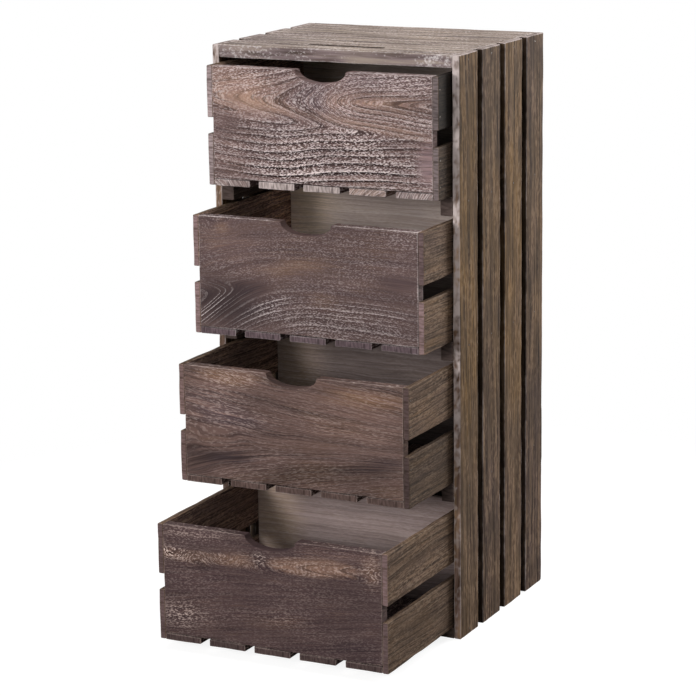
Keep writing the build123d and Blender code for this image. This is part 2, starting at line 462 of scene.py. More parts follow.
def wood_rings(tree, grain, ring, uneven, sway, ripple):
    """Distance from the pith of a trunk that grew in bends and ripples, and the part of a ring, 0 to 1."""
    radius = read(tree, "ring")
    for (length, width), shift in ((SWAY, sway), (RIPPLE, ripple)):
        bend = cloud(tree, grain, (1 / length, 1 / width, 1 / width))
        radius = calc(tree, "MULTIPLY_ADD", bend, NOISE_GAIN * shift, radius)
    years = calc(tree, "DIVIDE", radius, ring)
    drift = calc(tree, "MULTIPLY", years, RING_DRIFT)
    wobble = add(tree, "ShaderNodeTexNoise", {"W": drift, "Scale": 1.0, "Detail": 0.0}, noise_dimensions="1D")
    year = calc(tree, "MULTIPLY_ADD", wobble, uneven, years)
    return radius, calc(tree, "FRACT", year)


def wood_clouds(tree, grain, radius, fleck, streak, patch):
    """Noise for flecks, streaks and bands, slow along the rings and quick across, and for patches."""
    parts = add(tree, "ShaderNodeSeparateXYZ", {0: grain}).node.outputs
    flow = add(tree, "ShaderNodeCombineXYZ", {0: parts["X"], 1: parts["Y"], 2: radius})
    clouds = {}
    for kind, (length, width), detail, twist in (
        ("fleck", fleck, 1.0, FLECK_TWIST),
        ("streak", streak, 2.0, 0.0),
        ("band", BAND, 2.0, 0.0),
    ):
        clouds[kind] = cloud(tree, flow, (1 / length, 1 / length, 1 / width), detail, twist)
    length, width = patch
    clouds["patch"] = cloud(tree, grain, (1 / length, 1 / width, 1 / width), 2.0)
    return clouds


# %% Wood finish
TONES = ("deep", "mid", "light", "tan", "cool", "lime", "end")
WOOD_ROUGHNESS = 0.78
WOOD_SPECULAR = 0.12
RELIEF, RELIEF_STRENGTH, LATE_RIDGE = 0.35 * MM, 0.7, 0.5
END_STREAK, END_STREAK_LENGTH, END_TWIST = 2.4, 14.0, 0.4
EDGE_ROUGH = 0.7
RAMPS = {
    # Where each look begins and where it is full. First by the part of a ring:
    "late_wood": (0.55, 0.97), "early_wood": (0.15, 0.95, 0.03, -0.05), "first_pores": (0.24, 0.1),
    # by how tan a place is:
    "warmer": (0.05, 0.95), "cooler": (-0.05, -0.75),
    # by noise, which is mostly between 0.3 and 0.7:
    "band": (0.38, 0.62), "thread": (0.52, 0.34), "gleam": (0.5, 0.68), "patch": (0.35, 0.65),
    "rubbed_and_shaded": (0.35, 0.6, 0.45, 1.0), "row": (0.36, 0.48), "pore": (0.47, 0.4), "speck": (0.53, 0.6),
    "cells": (0.6, 0.35, 0.0, 0.65),
    # and by noise with the wash, or with the worn edge, added:
    "washed": (0.9, 1.25), "bare": (1.25, 1.65),
}


def sawn_end(tree, grain, sawn, deep):
    """Colour of a sawn end, where the cut pores show as streaks."""
    scale = (0, 1 / END_STREAK, 1 / END_STREAK_LENGTH)
    cells = ramp(tree, cloud(tree, grain, scale, twist=END_TWIST), *RAMPS["cells"])
    return blend(tree, cells, sawn, deep)


def limed_wood(
    name, tones, ring=6.0, uneven=2.0, sway=2.5, ripple=1.5, late=0.5, rows=0.2, hues=(1.2, 0.6),
    streaky=0.5, streak=(40.0, 1.0), flecky=0.5, fleck=(6.0, 0.9), patchy=0.08,
    patch=(80.0, 30.0), worn=0.5, pale=None, dark_grain=1.0,
):
    """Paulownia, brushed, stained and limed. Sizes are in millimetres, and amounts go from 0 to about 1."""
    material, tree = new_material(name)
    deep, mid, light, tan, cool, chalk, sawn = (linear(code) for code in tones)
    pale = linear(pale) if pale else chalk
    grain, finish_and_painted_light = (read(tree, mark, "Vector") for mark in ("grain", "finish_and_painted_light"))
    clear, edge, end, wash = (read(tree, mark) for mark in ("line", "edge", "end", "wash"))
    marks = add(tree, "ShaderNodeSeparateXYZ", {0: finish_and_painted_light}).node.outputs
    radius, season = wood_rings(tree, grain, ring, uneven, sway, ripple)
    clouds = wood_clouds(tree, grain, radius, fleck, streak, patch)
    tints, hints = (
        add(tree, "ShaderNodeSeparateColor", {0: clouds[kind].node.outputs["Color"]}).node.outputs
        for kind in ("streak", "patch")
    )
    # A ring starts with a row of pores and ends with a dark line of late wood.
    late_wood = ramp(tree, season, *RAMPS["late_wood"], interpolation_type="SMOOTHSTEP")
    early_wood = ramp(tree, season, *RAMPS["early_wood"])
    first_pores = ramp(tree, season, *RAMPS["first_pores"])
    line = calc(tree, "MULTIPLY", late_wood, late)
    line = calc(tree, "MULTIPLY", line, clear, use_clamp=True)
    # Stain: bands of two browns, tan or cool where the board says so, and streaks of both.
    band = ramp(tree, clouds["band"], *RAMPS["band"])
    hue = calc(tree, "SUBTRACT", tints["Green"], NOISE_MIDDLE)
    hue = calc(tree, "MULTIPLY_ADD", hue, hues[0], marks["Y"])
    drift = calc(tree, "SUBTRACT", hints["Blue"], NOISE_MIDDLE)
    hue = calc(tree, "MULTIPLY_ADD", drift, hues[1], hue)
    warmer = ramp(tree, hue, *RAMPS["warmer"])
    cooler = ramp(tree, hue, *RAMPS["cooler"])
    thread = ramp(tree, clouds["streak"], *RAMPS["thread"], high=streaky * dark_grain)
    gleam = ramp(tree, clouds["streak"], *RAMPS["gleam"], high=streaky)
    # Lime: rows of pores that start a ring, and short flecks, both most in rubbed patches.
    rubbed_and_shaded = ramp(tree, clouds["patch"], *RAMPS["rubbed_and_shaded"])
    rubbed_and_shaded = calc(tree, "MULTIPLY", rubbed_and_shaded, marks["Z"])
    row = ramp(tree, clouds["fleck"], *RAMPS["row"], high=rows)
    row = calc(tree, "MULTIPLY", row, first_pores)
    row = calc(tree, "MULTIPLY", row, clear, use_clamp=True)
    grit = calc(tree, "ADD", clouds["fleck"], early_wood)
    pore = ramp(tree, grit, *RAMPS["pore"], high=flecky * dark_grain)
    pore = calc(tree, "MULTIPLY", pore, rubbed_and_shaded, use_clamp=True)
    speck = ramp(tree, grit, *RAMPS["speck"], high=flecky)
    speck = calc(tree, "MULTIPLY", speck, rubbed_and_shaded, use_clamp=True)
    # A lime wash covers more of a face the more there is of it. Worn edges keep lime too.
    washed = calc(tree, "ADD", clouds["fleck"], wash)
    washed = ramp(tree, washed, *RAMPS["washed"])
    rough_edge = calc(tree, "ADD", clouds["fleck"], clouds["patch"])
    rough_edge = calc(tree, "MULTIPLY_ADD", rough_edge, EDGE_ROUGH, edge)
    bare = ramp(tree, rough_edge, *RAMPS["bare"], high=worn)
    layers = (
        (band, light), (warmer, tan), (cooler, cool), (thread, deep), (gleam, light), (line, deep),
        (pore, deep), (row, chalk), (speck, chalk), (end, sawn_end(tree, grain, sawn, deep)),
    )
    colour = mid
    for amount, tone in layers:
        colour = blend(tree, amount, colour, tone)
    # Some parts took more stain than others, and each point's lightness, painted shade and painted light
    # included, scales the colour. The wash lies on top, and only dark places dim it.
    shade = ramp(tree, hints["Red"], *RAMPS["patch"], 1 - patchy, 1 + patchy)
    shade = calc(tree, "MULTIPLY", shade, marks["X"])
    colour = add(tree, "ShaderNodeVectorMath", {0: colour, "Scale": shade}, operation="SCALE")
    dim = calc(tree, "MINIMUM", shade, 1.0)
    coat = add(tree, "ShaderNodeVectorMath", {0: pale[:3], "Scale": dim}, operation="SCALE")
    for amount in (washed, bare):
        colour = blend(tree, amount, colour, coat)
    # Brushing leaves late wood and fibres standing, and pores open.
    ridge = calc(tree, "MULTIPLY_ADD", late_wood, LATE_RIDGE, clouds["streak"])
    relief = calc(tree, "SUBTRACT", ridge, clouds["fleck"])
    bump = add(tree, "ShaderNodeBump", {"Height": relief, "Strength": RELIEF_STRENGTH, "Distance": RELIEF})
    looks = {"Roughness": WOOD_ROUGHNESS, "Specular IOR Level": WOOD_SPECULAR}
    skin = add(tree, "ShaderNodeBsdfPrincipled", {"Base Color": colour, "Normal": bump, **looks})
    add(tree, "ShaderNodeOutputMaterial", {"Surface": skin}, out=None)
    return material


print("tones of a wood, in order:", *TONES)

# %% [markdown]
# ## The case
# Four upright slats a side, a top and a bottom panel, a thin back and six runners. Each has its own cut
# from the log. Only the length, width and thickness axes differ, so one table holds what is special about
# each kind of board.

# %% Case boards
BOARD_STEP = 8.0 * MM
SLAT_TONES = ("#281b12", "#5a4635", "#6b5643", "#785b34", "#584740", "#86705a", "#8d7d75")
PLAIN_TONES = ("#2b211c", "#50433e", "#5d4e46", "#655346", "#504749", "#83746b", "#524541")
slat_wood = limed_wood(
    "stained_slat_paulownia", SLAT_TONES, ring=9.0, ripple=1.0, late=0.4, rows=0.05, hues=(0.6, 1.5),
    streaky=0.85, streak=(110.0, 3.0), flecky=0.32, fleck=(9.0, 2.6), patchy=0.26, patch=(60.0, 18.0),
    worn=0.75, pale="#c4b6b2",
)
plain_wood = limed_wood("plain_stained_paulownia", PLAIN_TONES, flecky=0.3, worn=0.3)

CASE_BOARDS = {
    # part of the node's name: axes along, across and through the board, and its wood
    "_slat_": ((Z, Y, X), slat_wood),
    "_runner_": ((Y, Z, X), plain_wood),
    "bottom_panel": ((X, Y, Z), plain_wood),
    "back_panel": ((Z, X, Y), plain_wood),
}
# A face with its own finish: its axis and side, how light, what it adds of tan, and its lime wash, which may
# change along the board around some places, each given with its half size and what it adds.
# The edges inside the gaps are darkened as painted shade. The front edges are washed with lime, most near
# the top.
GAP_SHADE, TOP_END_WASH = 0.35, 0.5
GAP_FRONT, GAP_BACK = (Y, -1, GAP_SHADE, 0.0, 0.0), (Y, 1, GAP_SHADE, 0.0, 0.0)
SLAT_TOP = (Z, 1, 1.0, 0.0, TOP_END_WASH)
FRONT_EDGES = {
    "left_slat_1": (Y, -1, 1.7, -0.7, 0.36, (315, 40, 0.24)),
    "right_slat_1": (Y, -1, 2.6, -1.0, 0.59, (290, 90, 0.14), (110, 80, 0.06), (-230, 130, -0.2)),
}
# Slats are more tan in the middle and cooler near the floor, and each has its own tan.
SLAT_ZONES = (
    ((90, 0), (170, 200), 0, (0.02, 0.35, 0, 0)),
    ((-230, 0), (130, 200), 0, (0, -0.4, 0, 0)),
)
SLAT_TANS = {"right_slat_1": 0.35, "right_slat_2": -0.15, "right_slat_3": 0.25, "right_slat_4": -0.4}


def case_look(node):
    """The chosen values of a case board's cut."""
    if "_slat_" not in node:
        return {}
    front = FRONT_EDGES.get(node, GAP_FRONT)
    look = {"faces": (front, GAP_BACK, SLAT_TOP), "zones": SLAT_ZONES}
    return {**look, "tan": SLAT_TANS[node]} if node in SLAT_TANS else look


case_nodes = frame["record"]["behaviour"]["bodies"]["case"]
for part, (axes, wood) in CASE_BOARDS.items():
    for node in (name for name in case_nodes if part in name):
        low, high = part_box(node)
        cut = usual_cut(node, **case_look(node))
        make_piece(node, [straight_board(low, high, axes, cut, BOARD_STEP)], wood)

# %% [markdown]
# ## The top and its slot
# The top is a board like the others with a slot cut through it. The cut is made with a Boolean after the
# edges are worn, and the marks are read again from the cut mesh, because cutting makes new points. The
# walls of the slot get a darker wood: they took up a lot of stain, and it also holds painted shade for
# the narrow slot.

# %% Top panel
TOP_TONES = ("#4f4038", "#8c7c73", "#aa9a8e", "#a4907b", "#8a797a", "#e2d8d6", "#8f7f76")
# Stain and painted shade for the walls of the slot.
SLOT_STAIN_AND_SHADE_TONES = ("#0f0b09", "#221a17", "#29201c", "#2c231d", "#221d1e", "#3a312d", "#221b19")
SLOT_LENGTH = 95.0 * MM
SLOT_WIDTH = 8.0 * MM
SLOT_SETBACK = 34.0 * MM
SLOT_STEPS = 12
SLOT_MARGIN = 0.2 * MM
CUTTER_MARGIN = 10.0 * MM
WALL_SLOPE = 0.5
TOP_PITH, TOP_DEPTH = -160, 90
TOP_FRONT = (Y, -1, 0.82, -0.6, 0.22, (-112, 48, 0.19), (-40, 14, 0.15), (124, 24, 0.25))
TOP_ZONES = (
    ((-110, -50), (60, 60), 0, (-0.12, -0.4, 0, 0)),
    ((30, 82), (90, 9), 0, (0.14, 0.2, 0, 0)),
    ((95, 50), (40, 7), 0, (-0.14, 0, 0, 0)),
    ((70, 10), (70, 22), 0, (0.05, 0.3, 0, 0)),
)


def slot_outline(length, width):
    """A slot with round ends, as points in a plane, counter-clockwise."""
    radius = width / 2
    reach = length / 2 - radius
    turns = [math.pi * (n / SLOT_STEPS - 0.5) for n in range(SLOT_STEPS + 1)]
    right = [(reach + radius * math.cos(t), radius * math.sin(t)) for t in turns]
    return right + [(-x, -y) for x, y in right]


def make_cutter(name, outline, middle, low, high):
    """An upright prism over an outline, to cut with."""
    count = len(outline)
    points = [(middle[0] + x, middle[1] + y, z) for z in (low, high) for x, y in outline]
    sides = [(n, (n + 1) % count, (n + 1) % count + count, n + count) for n in range(count)]
    caps = [tuple(reversed(range(count))), tuple(range(count, 2 * count))]
    mesh = bpy.data.meshes.new(name)
    mesh.from_pydata(points, [], sides + caps)
    cutter = bpy.data.objects.new(name, mesh)
    bpy.context.scene.collection.objects.link(cutter)
    return cutter


low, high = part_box("top_panel")
top_axes = (X, Y, Z)
top_cut = usual_cut(
    "top_panel", pith=TOP_PITH, depth=TOP_DEPTH, light=1.0, tan=0.0, faces=(TOP_FRONT,), zones=TOP_ZONES
)
top_wood = limed_wood(
    "limed_top_paulownia", TOP_TONES, ring=14.0, late=0.3, rows=0.1, hues=(1.2, 1.2), streaky=0.9,
    streak=(80.0, 5.0), flecky=0.4, fleck=(3.0, 2.0), patchy=0.12, patch=(70.0, 25.0),
)
top = make_piece("top_panel", [straight_board(low, high, top_axes, top_cut, BOARD_STEP)], top_wood)
middle = ((low.x + high.x) / 2, low.y + SLOT_SETBACK)
outline = slot_outline(SLOT_LENGTH, SLOT_WIDTH)
cutter = make_cutter("slot_cutter", outline, middle, low.z - CUTTER_MARGIN, high.z + CUTTER_MARGIN)
cut_slot = top.modifiers.new("slot", "BOOLEAN")
cut_slot.object = cutter
cut_slot.solver = "EXACT"
cut_mesh = bpy.data.meshes.new_from_object(top.evaluated_get(bpy.context.evaluated_depsgraph_get()))
top.modifiers.remove(cut_slot)
bpy.data.objects.remove(cutter)
points = np.array([vertex.co for vertex in cut_mesh.vertices])
top_marks = board_marks(points, points, low, high, top_axes, top_cut)
for name in top_marks:
    cut_mesh.attributes.remove(cut_mesh.attributes[name])
store_marks(cut_mesh, top_marks)
cut_mesh.materials.append(limed_wood("stained_and_shaded_slot_paulownia", SLOT_STAIN_AND_SHADE_TONES))
for face in cut_mesh.polygons:
    off_x, off_y = abs(face.center.x - middle[0]), abs(face.center.y - middle[1])
    beside = off_x < SLOT_LENGTH / 2 + SLOT_MARGIN and off_y < SLOT_WIDTH / 2 + SLOT_MARGIN
    face.material_index = int(beside and abs(face.normal.z) < WALL_SLOPE)
cut_mesh.shade_smooth()
cut_mesh.set_sharp_from_angle(angle=SHARP_ANGLE)
top.data = cut_mesh
print(f"top panel: {len(cut_mesh.polygons)} faces")

# %% [markdown]
# ## Drawer fronts
# Each front is one wide board, and it is what the eye goes to. A finger notch is pressed into its top edge
# by lowering each column of the lattice to the notch's curve, which is a little squarer than an arc.

# %% Notched board
FRONT_STEP = 3.0 * MM
NOTCH_WIDTH = 63.0 * MM
NOTCH_DEPTH = 14.2 * MM
NOTCH_SQUARE = 2.05
NOTCH_SOFT = 0.8 * MM
NOTCH_STEP = 1.5 * MM
NOTCH_STEPS = 24


def notch_depth(x):
    """How far the top edge is lowered at x: a rounded curve, eased into the straight edge."""
    share = np.abs(2 * x / NOTCH_WIDTH)
    curve = NOTCH_DEPTH * np.clip(1 - share**NOTCH_SQUARE, 0, 1) ** (1 / NOTCH_SQUARE)
    beyond = np.clip(share - 1, 0, 1) * NOTCH_WIDTH
    return (curve + np.sqrt(curve**2 + NOTCH_SOFT**2)) / 2 * np.exp(-beyond / (2 * NOTCH_SOFT))


def notched_board(low, high, axes, cut, step):
    """A worn board with the finger notch in its top edge."""
    middle = (low.x + high.x) / 2
    fine = [middle + n * NOTCH_STEP for n in range(-NOTCH_STEPS, NOTCH_STEPS + 1)]
    flat, quads = lattice_box(low, high, step, fine)
    points = wear(flat, low, high, cut["seed"])
    share = (points[:, Z] - low.z) / (high.z - low.z)
    points[:, Z] -= share * notch_depth(points[:, X] - middle)
    marks = board_marks(flat, points, low, high, axes, cut)
    # Fingers rub the lime off the rim of the notch.
    marks["edge"] *= 1 - hill(points[:, X] - middle, 0, (0, 0), (NOTCH_WIDTH / 2, 1))
    return points, quads, marks


# %% [markdown]
# ## Four figures
# The run of the rings on a board is called its figure, and on the fronts it is given one by one. The top one
# is cut below a fork, where two sets of rings meet. The second sweeps up from a knot at its lower left. The
# third fans out, and the bottom one has a narrow arch near the pith. Each is a function from a place on the
# board, in millimetres from its middle, to the distance from the pith.

# %% Figures of the fronts
# The numbers are places and lengths in millimetres, and slopes. Rings also slant through the board.
SLANT = 0.4


def forked_rings(along, across, through, cut):
    """Pointed arches above, and below them wavy bands that meet the arches along a ridge."""
    tip = 4 + 8 * ease(-along / 8)
    upper = 6 + soft_size(across - 31, tip) - 0.15 * (along + swell(along + 50, 10) - swell(along - 22, 10))
    upper += 0.7 * ease((along - 18) / 12) * (soft_size(across - 31, tip) - 34)
    rise = 11 * ease((along + 20) / 14) + 0.13 * swell(-65 - along, 20) + 0.05 * swell(along - 10, 20)
    lower = 34 + across - rise * (0.75 + 0.25 * ease((across + 30) / 8))
    return (upper + lower - soft_size(upper - lower, 2)) / 2 + SLANT * through


def knotted_rings(along, across, through, cut):
    """Bent rings round a knot, then rings that sweep up to the right and run out level."""
    reach = 20 - along
    near = np.clip(reach, 0, 110)
    sweep = 0.0029 * near**2 + 0.64 * np.clip(reach - 110, 0, None) + 0.0004 * np.clip(reach, None, 0) ** 2
    main = across + sweep * (0.15 + 0.85 * ease(-(across + 10) / 22))
    below = 0.58 * (along + 84) - 0.81 * (across + 20)
    above = 0.12 * (along + 93) + 0.99 * (across + 9)
    bent = (below + above + soft_size(below - above, 10)) / 2
    share = ease(-(bent - 1) / 2)
    swirl = 5 * hill(along, across, (-105, 50), (22, 13))
    return main * (1 - share) + (5 - 1.4 * bent) * share + swirl + SLANT * through


def fanned_rings(along, across, through, cut):
    """Long rings that fall to the right above and rise to the right below, with a burl at the left."""
    fall = 0.11 * along * ease((across + 8) / 14)
    rise = 0.22 * along * ease(-(across + 24) / 12)
    burl = 2 * hill(along, across, (-95, -18), (26, 12))
    return across + fall - rise + burl + SLANT * through


def arched_rings(along, across, through, cut):
    """A blunt arch inside a straight band, zigzags to its left, and nearly straight rings below."""
    climb = 0.06 * along + 0.09 * (along - 12 * np.sin(0.035 * along)) * ease(-(across + 2) / 8)
    off = across - 33 - climb
    arch = soft_size(off, 4) - 0.1 * along
    inside = ease(along / 10) * np.exp(-((off / 12) ** 4))
    zigzag = 9 * np.sin(0.09 * (along + 75)) * hill(along, across, (-80, 31), (60, 9))
    return off * (1 - inside) + arch * inside + zigzag + SLANT * through


# %% [markdown]
# ## Four faces
# Each front also has its own stain, and zones that differ from the rest: lighter or darker, more tan, more
# limed, or with clearer rings. A zone is a hill, soft unless it says how firm: its middle, half sizes and
# slope, and what it adds of light, tan, lime and ring lines. Where the grain's dark lines would be too
# strong for a front, `dark_grain` weakens them and leaves the pale ones.

# %% Zones of the fronts
FRONT_ZONES = {
    "top_drawer": (
        ((5, -36), (122, 36), 0, (-0.08, -0.1, 0.28, 0.5)),
        ((10, -51), (96, 8), 0.02, (0.12, 0, -0.05, 1.4)),
        ((-103, 40), (52, 28), -0.1, (0.17, 0.55, -0.22, -0.6)),
        ((-75, 22), (50, 9), -0.15, (0.02, 0.5, -0.2, 0)),
        ((10, 12), (50, 7), -0.14, (0, 0.5, -0.3, 0)),
        ((85, 3), (50, 7), -0.13, (0.03, 0.6, -0.3, 0)),
        ((75, 30), (60, 13), 0, (-0.02, 0.5, -0.4, 0.2)),
        ((64, 31), (30, 3), 0, (0.2, 0.2, 0, -0.5)),
        ((14, 31), (12, 10), 0, (0.06, 0.6, -0.2, 0)),
        ((22, 34), (22, 27), 0, (0.26, 0, 0.1, -0.45)),
        ((-8, 34), (26, 20), 0, (-0.02, -0.6, 0.35, -0.45)),
        ((75, 55), (64, 9), 0, (0.12, -0.4, 0.05, -0.5)),
        ((-122, -2), (26, 18), 0, (-0.2, -0.1, -0.4, -0.6)),
        ((-115, -42), (26, 20), 0, (-0.04, 0.2, -0.3, -0.3)),
        ((130, -32), (14, 26), 0, (0.5, -0.4, -0.7, -1.0)),
        ((-60, -2), (32, 9), 0, (-0.08, -0.2, 0, 0)),
        ((70, -57), (40, 8), 0, (0.08, 0.3, -0.2, 0)),
    ),
    "second_drawer": (
        ((30, -48), (90, 15), -0.05, (-0.14, -0.1, 0.24, 0.35)),
        ((70, -29), (62, 9), 0, (0, 0, 0.15, 0.5)),
        ((-104, -34), (38, 26), 0, (-0.46, -0.45, -0.25, 0.3)),
        ((-122, -42), (24, 10), 0.7, (0.1, 0, 0, 1.4)),
        ((-68, -15), (25, 10), 0, (-0.2, -0.3, -0.3, 0)),
        ((-55, -38), (30, 12), 0.55, (-0.1, -0.2, 0.35, 0.7)),
        ((-20, 12), (48, 9), 0.12, (0.12, 0.5, -0.1, 0)),
        ((20, -22), (20, 12), 0, (0, 0.35, 0, 0)),
        ((-95, 36), (45, 26), 0, (0.18, 0.1, -0.15, 0)),
        ((-105, 52), (10, 8), 0, (0.06, 0.4, 0, 0)),
        ((115, 5), (25, 12), 0, (-0.06, -0.2, -0.3, 0)),
        ((118, 32), (28, 30), 0, (0.2, 0, 0.1, 0)),
        ((40, 38), (80, 14), 0, (0, 0.1, 0.1, 0)),
    ),
    "third_drawer": (
        ((-78, 54), (46, 10), 0, (0.4, 0.6, 0.35, 0)),
        ((92, 46), (52, 10), 0, (0.16, 0.7, 0, 0)),
        ((82, 22), (70, 34), 0, (0.22, 0.15, 0, 0)),
        ((-100, 22), (46, 24), -0.1, (0.38, -0.25, 0.1, 0)),
        ((-83, -38), (32, 8), 0.05, (-0.3, -0.4, -0.35, 0)),
        ((-122, -50), (26, 18), 0, (-0.24, -0.1, -0.35, 0)),
        ((-70, 5), (50, 14), 0, (0.04, -0.35, 0, 0)),
        ((105, -27), (36, 7), 0.2, (-0.18, -0.4, -0.3, 0)),
        ((10, -48), (70, 14), 0.18, (-0.34, 0.35, 0.1, 0)),
        ((120, -58), (30, 8), 0, (0.08, 0.4, 0, 0)),
        ((95, -46), (48, 16), 0, (-0.24, 0, 0, 0)),
    ),
    "bottom_drawer": (
        ((-90, 31), (60, 7.5), 0.02, (-0.06, 0.42, 0.48, 0.1), FIRM),
        ((-128, 30), (16, 6), 0, (0.12, 0.2, 0.6, 0)),
        ((-35, 34), (30, 9), 0.04, (0.05, 0.55, 0.3, 0)),
        ((-14, 38), (11, 8), 0, (-0.1, -0.3, 0.4, 0)),
        ((53, 37), (57, 11), 0.04, (0.06, 0.85, 0.12, 0.8), FIRM),
        ((123, 42), (13, 17), 0, (0.04, 0.5, 0.4, 0.3)),
        ((-95, 55), (46, 8), 0, (0.22, 0, 0.2, 0)),
        ((80, 55), (50, 8), 0, (0.32, 0.15, 0.05, 0)),
        ((-65, 2), (68, 18), 0, (0.12, 0, 0, 0)),
        ((-112, -42), (27, 19), 0, (0.05, 0, 0.4, 0.8)),
        ((10, -30), (42, 10), 0.12, (-0.04, 0.25, 0.1, 0)),
        ((90, 8), (52, 12), 0, (-0.1, -0.1, 0, 0)),
        ((105, -48), (32, 12), 0, (-0.1, -0.3, 0, 0)),
    ),
}
print(f"{sum(len(zones) for zones in FRONT_ZONES.values())} zones on {len(FRONT_ZONES)} fronts")

# %% Drawer fronts
FRONTS = {
    "top_drawer": {
        "tones": ("#2a1c1b", "#715b58", "#836b67", "#a38473", "#78676b", "#f0e2e0", "#7d6966"),
        "wood": {
            "ring": 8.35, "uneven": 0.4, "sway": 2.0, "ripple": 1.6, "late": 0.85, "rows": 0.25,
            "streaky": 0.6, "flecky": 0.85, "fleck": (2.8, 0.95), "worn": 0.3,
        },
        "wash": 0.4,
        "cut": {"rings": forked_rings, "seed": 0.31, "lime": 0.55, "line": 0.6},
    },
    "second_drawer": {
        "tones": ("#231919", "#554443", "#604d4a", "#7b614f", "#4e4145", "#d6c8c6", "#6a5a58"),
        "wood": {
            "ring": 5.5, "sway": 2.0, "ripple": 0.9, "late": 0.3, "rows": 0.8, "streaky": 0.4,
            "flecky": 0.8, "fleck": (2.6, 0.9), "worn": 0.6, "dark_grain": 0.6,
        },
        "wash": 0.4,
        "cut": {"rings": knotted_rings, "seed": 0.52, "lime": 0.24, "line": 0.0},
    },
    "third_drawer": {
        "tones": ("#241814", "#4f3f3c", "#69534d", "#765a46", "#4a3d41", "#ccb8b0", "#59453d"),
        "wood": {
            "ring": 5.0, "late": 0.3, "rows": 0.1, "streaky": 0.95, "streak": (60.0, 1.0), "flecky": 0.42,
            "fleck": (5.5, 0.8), "worn": 0.3, "dark_grain": 0.5,
        },
        "wash": 0.35,
        "cut": {"rings": fanned_rings, "seed": 0.73, "lime": 0.38, "line": 0.25},
    },
    "bottom_drawer": {
        "tones": ("#211718", "#463637", "#503f3e", "#836657", "#413438", "#d0bab0", "#5c4b48"),
        "wood": {
            "ring": 6.0, "sway": 2.0, "late": 0.45, "rows": 0.12, "hues": (1.0, 0.4), "streaky": 0.6,
            "flecky": 0.85, "fleck": (3.2, 1.0), "worn": 0.3, "dark_grain": 0.7,
        },
        "wash": 0.35,
        "cut": {"rings": arched_rings, "seed": 0.94, "lime": 0.15, "line": 0.05},
    },
}
# The top edge of each front has a lime wash, which fingers have rubbed off in the notch.
NOTCH_RUBBED = (0, 38, -0.6)
TOP_EDGE_LIGHT = 0.9
# The back of a front and the tops of the floor slats, inside the drawer, are darkened as painted shade.
INSIDE_SHADE = 0.5

for drawer, look in FRONTS.items():
    node = f"{drawer}_front"
    wood = limed_wood(f"limed_{node}_paulownia", look["tones"], **look["wood"])
    faces = ((Z, 1, TOP_EDGE_LIGHT, 0.0, look["wash"], NOTCH_RUBBED), (Y, 1, INSIDE_SHADE, 0.0, 0.0))
    cut = usual_cut(node, light=1.0, tan=0.0, zones=FRONT_ZONES[drawer], faces=faces, **look["cut"])
    low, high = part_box(node)
    make_piece(node, [notched_board(low, high, (X, Z, Y), cut, FRONT_STEP)], wood)
print(f"{len(FRONTS)} drawer fronts")

# %% [markdown]
# ## Drawer boxes
# Behind each front are four side slats, a back board and five floor slats. The floor slats share one CAD
# node, so they share one piece too, and their places follow from their number and the gap between them.
# The sides and backs got less stain inside than outside, each drawer its own amount, and the backs are
# lighter still as painted light for the inside of the drawer. The sides get painted shade where they go
# into the case, just behind the part that stood out most of the time.

# %% Looks of the drawer boxes
SIDES = ("left_upper", "left_lower", "right_upper", "right_lower")
SIDE_TONES = ("#2c2018", "#614d3f", "#705a49", "#82633f", "#5a4945", "#94806e")
FLOOR_SLATS = 5
FLOOR_GAP = 11.2 * MM
DARK_ENDS = ((1.0, 0.0),) * FLOOR_SLATS
# Each drawer's back tones are pale from less stain, and lighter still as painted light for the inside of the
# drawer.
BOXES = {
    # pulled: how far the drawer stood out, in millimetres; rubbed_and_shaded: what painted shade from the
    # case adds of light behind that
    # sides: how light each side slat is, how much lighter its front end, and what painted shade there adds
    # bare: how much lighter the sides are inside; corner: what painted light at the left end of the back adds
    # floor: how much each floor slat's front end looks sawn, not limed like its face, and how tan it is
    "top_drawer": {
        "pulled": 32, "rubbed_and_shaded": -0.4, "bare": 3.3, "corner": 0.0,
        "sides": ((1.0, 2.3, 0), (1.0, 2.0, 0), (1.0, 5.5, -0.77), (1.0, 2.5, -0.54)),
        "side_end": "#776a6a", "floor_end": "#b9aaa6",
        "back": ("#6e615a", "#8f8078", "#9b8c84", "#978470", "#8b8080", "#b0a39c", "#7d6f68"),
        "floor": ((0.3, 0.1), (1.0, 0.0), (1.0, 0.0), (0.3, 0.9), (0.3, 0.0)),
    },
    "second_drawer": {
        "pulled": 71, "rubbed_and_shaded": -0.3, "bare": 4.6, "corner": 1.1,
        "sides": ((1.0, 2.35, 0), (1.0, 2.5, 0), (1.1, 1.3, 0), (1.0, 2.6, 0)),
        "side_end": "#5a4a4a", "floor_end": "#66565a",
        "back": ("#8a7a73", "#aa9991", "#b6a69e", "#ad9a83", "#a39798", "#c6b8b1", "#8d7d76"),
    },
    "third_drawer": {
        "pulled": 111, "rubbed_and_shaded": -0.15, "bare": 3.0, "corner": 0.8,
        "sides": ((1.0, 1.8, 0), (1.0, 1.6, 0), (1.07, 0.8, 0), (0.62, 1.0, 0)),
        "side_end": "#5e4c4a", "floor_end": "#5f4d48",
        "back": ("#554945", "#746662", "#80726e", "#7c6b5c", "#6f6667", "#978a86", "#6a5c58"),
    },
    "bottom_drawer": {
        "pulled": 167, "rubbed_and_shaded": -0.1, "bare": 2.7, "corner": 0.4,
        "sides": ((1.0, 1.7, 0), (1.0, 1.75, 0), (1.0, 3.0, 0), (0.78, 2.15, 0)),
        "side_end": "#4a3c3c", "floor_end": "#50413f",
        "back": ("#7b6a66", "#9d8a86", "#aa9793", "#a38d78", "#978a8b", "#bcaca8", "#86746f"),
    },
}
